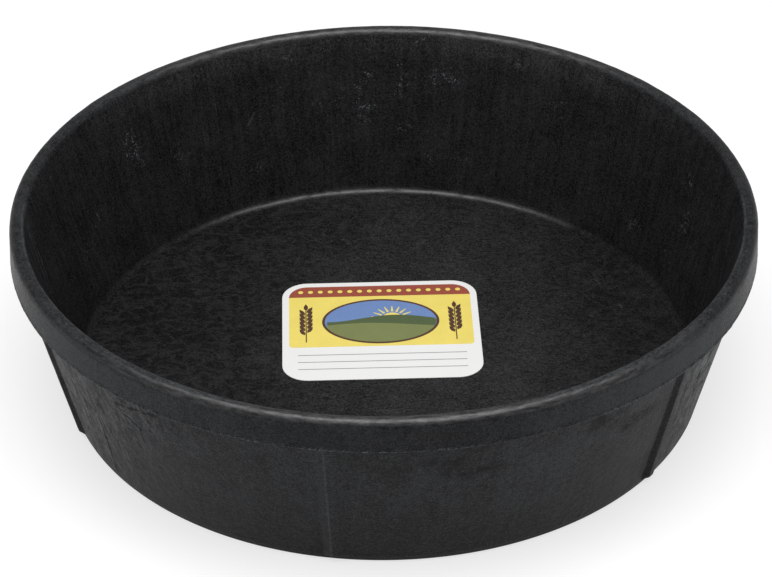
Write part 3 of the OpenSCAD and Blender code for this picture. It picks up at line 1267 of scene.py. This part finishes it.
@dataclass
class FarmLabel:
    """Paper label on the tub's floor, with a plain farm picture and a ruled panel to write on."""

    paper: PaperFinish
    ink_colours: dict[Ink, Colour]
    name: str = "paper_label"
    width: float = 116 * MM
    length: float = 100 * MM
    corner: float = 15 * MM
    thickness: float = 0.3 * MM
    place: Triple = (-2 * MM, 21.5 * MM, 9 * MM)
    turn: float = 1.5
    border: float = 4 * MM
    film: float = 0.02 * MM
    picture_low: float = -17 * MM
    crown_low: float = 35 * MM
    # Middle, half width and half length of the round picture, and the width of its rim
    roundel: tuple[float, float, float, float] = (0.0, 8.5 * MM, 33 * MM, 21.5 * MM)
    roundel_rim: float = 1.6 * MM
    # Middle and radius of the sun, and its rays
    sun: Triple = (7 * MM, 11 * MM, 6 * MM)
    ray_count: int = 11
    ray_gap: float = 1.2 * MM
    ray_length: float = 5.5 * MM
    ray_half_root: float = 0.7 * MM
    ray_half_tip: float = 0.25 * MM
    first_ray: float = -100.0
    ray_step: float = 20.0
    # Level, swell, phase and waves of the two hills
    far_hill: tuple[float, float, float, float] = (3.0 * MM, 3.2 * MM, 0.9, 2.6)
    near_hill: tuple[float, float, float, float] = (-4.0 * MM, 2.2 * MM, 2.1, 2.0)
    # Ears of wheat
    ear_gap: float = 11 * MM
    stem_half: float = 0.35 * MM
    stem_low: float = 1 * MM
    stem_high: float = 9 * MM
    grain_count: int = 6
    grain_aside: float = 2.1 * MM
    grain_low: float = 11.5 * MM
    grain_stagger: float = 1.2 * MM
    grain_step: float = 4.1 * MM
    grain_lean: float = 26.0
    top_grain_gap: float = 3 * MM
    # Dots along the crown and lines to write on
    dot_count: int = 17
    dot_radius: float = 1.5 * MM
    dot_margin: float = 7 * MM
    rule_count: int = 3
    rule_half: float = 0.3 * MM
    rule_margin: float = 5 * MM
    rule_gap: float = 8 * MM
    rule_step: float = 7 * MM

    def build(self) -> bpy.types.Object:
        """Cut the paper, print it and lay it on the floor.

        Returns:
            The finished label.
        """
        self.sheet = bmesh.new()
        inks = [PaperFinish(ink.value, colour) for ink, colour in self.ink_colours.items()]
        self.materials = [finish.material() for finish in (self.paper, *inks)]
        half_w = self.width / 2
        half_l = self.length / 2
        outline = rounded_sheet(-half_w, -half_l, half_w, half_l, self.corner, self.corner)
        add_prism(self.sheet, outline, 0.0, self.thickness, 0)
        self.print_panels(half_w - self.border, half_l - self.border)
        self.print_roundel()
        self.print_ears()
        self.print_rows(half_w - self.border, half_l - self.border)
        mesh = bpy.data.meshes.new(self.name)
        self.sheet.to_mesh(mesh)
        self.sheet.free()
        for material in self.materials:
            mesh.materials.append(material)
        mesh.transform(Matrix.Translation(self.place) @ Matrix.Rotation(math.radians(self.turn), 4, "Z"))
        return new_object(self.name, mesh)

    def span(self, layer: int) -> tuple[float, float]:
        """Underside and top of a film of ink, which sinks half a film into what lies under it."""
        return self.thickness + (layer - 0.5) * self.film, self.thickness + (layer + 1) * self.film

    def slot(self, ink: Ink) -> int:
        """Material slot of an ink."""
        return 1 + list(self.ink_colours).index(ink)

    def ink(self, outline: Outline, ink: Ink, layer: int) -> None:
        """Print an area, with the number of films that lie under it."""
        add_prism(self.sheet, outline, *self.span(layer), self.slot(ink))

    def print_panels(self, half_w: float, half_l: float) -> None:
        """Print the coloured panels behind the picture."""
        radius = self.corner - self.border
        small = radius / 4
        self.ink(rounded_sheet(-half_w, self.picture_low, half_w, half_l, small, radius), Ink.RED, 0)
        panel = rounded_sheet(-half_w, self.picture_low, half_w, self.crown_low, small, small / 3)
        self.ink(panel, Ink.YELLOW, 1)

    def print_roundel(self) -> None:
        """Print the round picture: sky, a low sun with rays, and two hills."""
        x, y, half_w, half_l = self.roundel
        self.ink(oval(x, y, half_w + self.roundel_rim, half_l + self.roundel_rim), Ink.BROWN, 2)
        self.ink(oval(x, y, half_w, half_l), Ink.BLUE, 3)
        sun_x, sun_y, sun_r = self.sun
        ray = [(-self.ray_half_root, 0.0), (self.ray_half_root, 0.0), (self.ray_half_tip, self.ray_length),
               (-self.ray_half_tip, self.ray_length)]
        self.repeat("sun_rays", ray, Ink.YELLOW, 4, self.ray_count, first=(sun_x, sun_y),
                    radius=sun_r + self.ray_gap, turn=math.radians(self.first_ray),
                    turn_step=math.radians(self.ray_step))
        self.ink(oval(sun_x, sun_y, sun_r, sun_r, steps=40), Ink.YELLOW, 4)
        self.ink(self.hill(*self.far_hill), Ink.HILL, 5)
        self.ink(self.hill(*self.near_hill), Ink.MEADOW, 6)

    def hill(self, level: float, swell: float, start: float, waves: float) -> Outline:
        """Outline of a hill that fills the roundel below its brow.

        Args:
            level: height of the brow above the middle of the roundel.
            swell: how far the brow swings.
            start: phase of the brow in the middle.
            waves: radians of swing from the middle to each side.

        Returns:
            The outline, anticlockwise.
        """
        x, y, half_w, half_l = self.roundel
        steps = 48
        brow, foot = [], []
        for i in range(steps + 1):
            share = -1 + 2 * i / steps
            edge = half_l * math.sqrt(max(0.0, 1 - share * share))
            top = level + swell * math.sin(start + waves * share)
            if top > -edge:
                brow.append((x + half_w * share, y + min(top, edge)))
                if edge > 0:
                    foot.append((x + half_w * share, y - edge))
        return foot + brow[::-1]

    def print_ears(self) -> None:
        """Print an ear of wheat on each side of the roundel."""
        grain = [(0.0, -3.2 * MM), (1.3 * MM, -1.0 * MM), (1.2 * MM, 1.4 * MM), (0.0, 4.0 * MM),
                 (-1.2 * MM, 1.4 * MM), (-1.3 * MM, -1.0 * MM)]
        _, y, half_w, half_l = self.roundel
        low = y - half_l + self.stem_low
        high = y + half_l - self.stem_high
        for side in (-1, 1):
            stem = side * (half_w + self.ear_gap)
            self.ink(rectangle(stem - self.stem_half, low, stem + self.stem_half, high), Ink.BROWN, 2)
            for lean in (-1, 1):
                first = (stem + lean * self.grain_aside, low + self.grain_low + lean * self.grain_stagger)
                self.repeat(f"grains_{side}_{lean}", grain, Ink.BROWN, 2, self.grain_count, first,
                            step=(0.0, self.grain_step), turn=lean * math.radians(self.grain_lean))
            self.repeat(f"top_grain_{side}", grain, Ink.BROWN, 2, 1, (stem, high + self.top_grain_gap))

    def print_rows(self, half_w: float, half_l: float) -> None:
        """Print the dots along the crown and the ruled lines of the panel to write on."""
        span = 2 * (half_w - self.dot_margin)
        first = (-span / 2, (self.crown_low + half_l) / 2)
        dot = oval(0.0, 0.0, self.dot_radius, self.dot_radius, steps=20)
        self.repeat("crown_dots", dot, Ink.YELLOW, 1, self.dot_count, first,
                    step=(span / (self.dot_count - 1), 0.0))
        reach = half_w - self.rule_margin
        self.repeat("ruled_lines", rectangle(-reach, -self.rule_half, reach, self.rule_half), Ink.GREY, 0,
                    self.rule_count, (0.0, self.picture_low - self.rule_gap), step=(0.0, -self.rule_step))

    def repeat(self, name: str, outline: Outline, ink: Ink, layer: int, count: int,
               first: tuple[float, float], step: tuple[float, float] = (0.0, 0.0), radius: float = 0.0,
               turn: float = 0.0, turn_step: float = 0.0) -> None:
        """Print a motif several times, along a line or round a ring.

        Args:
            name: name of the row.
            outline: outline of the motif, pointing along Y.
            ink: its ink.
            layer: number of films under it.
            count: number of copies.
            first: place of the first copy, or middle of the ring.
            step: way from one copy to the next.
            radius: distance from the middle of a ring.
            turn: clockwise turn of the first copy.
            turn_step: turn from one copy to the next.
        """
        motif = bmesh.new()
        add_prism(motif, outline, *self.span(layer), 0)
        mesh = bpy.data.meshes.new(name)
        motif.to_mesh(mesh)
        motif.free()
        piece = new_object(name, mesh)
        r = Recipe("row_of_" + name)
        index = r.make("GeometryNodeInputIndex")
        turned = r.named("First turn", turn) + index * r.named("Turn step", turn_step)
        away = r.named("Ring radius", radius)
        line = r.vector("ADD", r.named("First place", (*first, 0.0), "Vector"),
                        r.scaled(r.named("Step", (*step, 0.0), "Vector"), index))
        ring = r.combine(r.math("SINE", turned) * away, r.math("COSINE", turned) * away, 0.0)
        points = r.make("GeometryNodePoints", {
            "Count": r.named("Count", count, "Int"), "Position": r.vector("ADD", line, ring)})
        copies = r.make("GeometryNodeInstanceOnPoints", {
            "Points": points, "Instance": r.base, "Rotation": r.combine(0.0, 0.0, turned * -1.0)})
        r.finish(copies, self.materials[self.slot(ink)])
        r.apply(piece)
        for face in piece.data.polygons:
            face.material_index = self.slot(ink)
        self.sheet.from_mesh(piece.data)
        bpy.data.objects.remove(piece)


def raised(elevation: float, distance: float) -> Vector:
    """Place in front of the tub, at an elevation in degrees and a distance from the origin."""
    rise = math.radians(elevation)
    return Vector((0, -math.cos(rise), math.sin(rise))) * distance


@dataclass(frozen=True)
class PhotoCamera:
    """Camera at the photograph's viewing angle."""

    image_width: int = 772
    focal_pixels: float = 2853.29
    distance: float = 1.66264
    elevation: float = 35.2554
    roll: float = -0.4726
    pan: float = 0.0353
    tilt: float = 1.501
    sensor: float = 36.0

    def build(self) -> None:
        """Place the camera and make it the scene's own."""
        eye = raised(self.elevation, self.distance)
        ahead = -eye.normalized()
        right = Vector((1, 0, 0))
        up = right.cross(ahead)
        aside = math.tan(math.radians(self.pan)) * right + math.tan(math.radians(self.tilt)) * up
        ahead = (ahead + aside).normalized()
        right = ahead.cross(Vector((0, 0, 1))).normalized()
        up = right.cross(ahead)
        roll = math.radians(self.roll)
        across = right * math.cos(roll) + up * math.sin(roll)
        above = up * math.cos(roll) - right * math.sin(roll)
        lens = bpy.data.cameras.new("photo_camera")
        lens.sensor_fit = "HORIZONTAL"
        lens.sensor_width = self.sensor
        lens.lens = self.sensor * self.focal_pixels / self.image_width
        camera = new_object("photo_camera", lens)
        turn = Matrix((across, above, -ahead)).transposed().to_4x4()
        camera.matrix_world = Matrix.Translation(eye) @ turn
        bpy.context.scene.camera = camera


@dataclass(frozen=True)
class Studio:
    """Pale floor, one large soft lamp above the camera's side, and an even surround."""

    floor_size: float = 8.0
    floor_colour: Colour = (0.42, 0.42, 0.42)
    floor_lift: float = 0.68
    surround: float = 0.35
    lamp_size: tuple[float, float] = (1.1, 0.8)
    lamp_distance: float = 1.07
    lamp_elevation: float = 78.7
    lamp_power: float = 10.8

    def build(self) -> None:
        """Build the floor, the surround and the lamp."""
        bpy.context.scene.view_settings.view_transform = "Standard"
        self.build_floor()
        self.build_surround()
        self.build_lamp()

    def build_floor(self) -> None:
        """Lay the floor, which looks white where no shadow falls."""
        half = self.floor_size / 2
        mesh = bpy.data.meshes.new("studio_floor")
        mesh.from_pydata([(x, y, 0) for x, y in rectangle(-half, -half, half, half)], [], [(0, 1, 2, 3)])
        floor = new_object("studio_floor", mesh)
        material = bpy.data.materials.new("pale_floor")
        material.use_nodes = True
        material.node_tree.nodes.clear()
        g = Graph(material.node_tree)
        camera, glossy, through = [
            g.make("ShaderNodeLightPath", output=f"Is {ray} Ray")
            for ray in ("Camera", "Glossy", "Transmission")]
        seen = g.math("MAXIMUM", camera, g.math("MAXIMUM", glossy, through))
        matt = g.make("ShaderNodeBsdfDiffuse", {"Color": (*self.floor_colour, 1.0)})
        glow = g.make("ShaderNodeEmission", {"Strength": seen * self.floor_lift})
        both = g.make("ShaderNodeAddShader", {0: matt, 1: glow})
        out = material.node_tree.nodes.new("ShaderNodeOutputMaterial")
        g.feed(out.inputs["Surface"], both)
        mesh.materials.append(material)

    def build_surround(self) -> None:
        """Light the scene evenly from all round."""
        world = bpy.data.worlds.new("studio_surround")
        world.use_nodes = True
        background = world.node_tree.nodes["Background"]
        background.inputs["Color"].default_value = (1.0, 1.0, 1.0, 1.0)
        background.inputs["Strength"].default_value = self.surround
        bpy.context.scene.world = world

    def build_lamp(self) -> None:
        """Hang the soft lamp above the camera's side."""
        lamp = bpy.data.lights.new("soft_lamp", "AREA")
        lamp.shape = "RECTANGLE"
        lamp.size, lamp.size_y = self.lamp_size
        lamp.energy = self.lamp_power
        holder = new_object("soft_lamp", lamp)
        holder.location = raised(self.lamp_elevation, self.lamp_distance)
        holder.rotation_euler = (math.pi / 2 - math.radians(self.lamp_elevation), 0, 0)


def settle(piece: bpy.types.Object, node: str) -> None:
    """Tie a finished piece to the frame.

    Args:
        piece: the piece.
        node: CAD node that it stands for.
    """
    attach(piece, BODY)
    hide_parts(node)
    LOG.info("%s: %d faces, stands for %s", piece.name, len(piece.data.polygons), node)


def main() -> None:
    """Build the camera, the studio, the tub and its label."""
    logging.basicConfig(level=logging.INFO, format="%(name)s %(message)s")
    PhotoCamera().build()
    Studio().build()
    settle(RubberTub(TubSection(), BlackRubber()).build(), "tub")
    settle(FarmLabel(PAPER, INK_COLOURS).build(), "label")


if __name__ == "__main__":
    main()
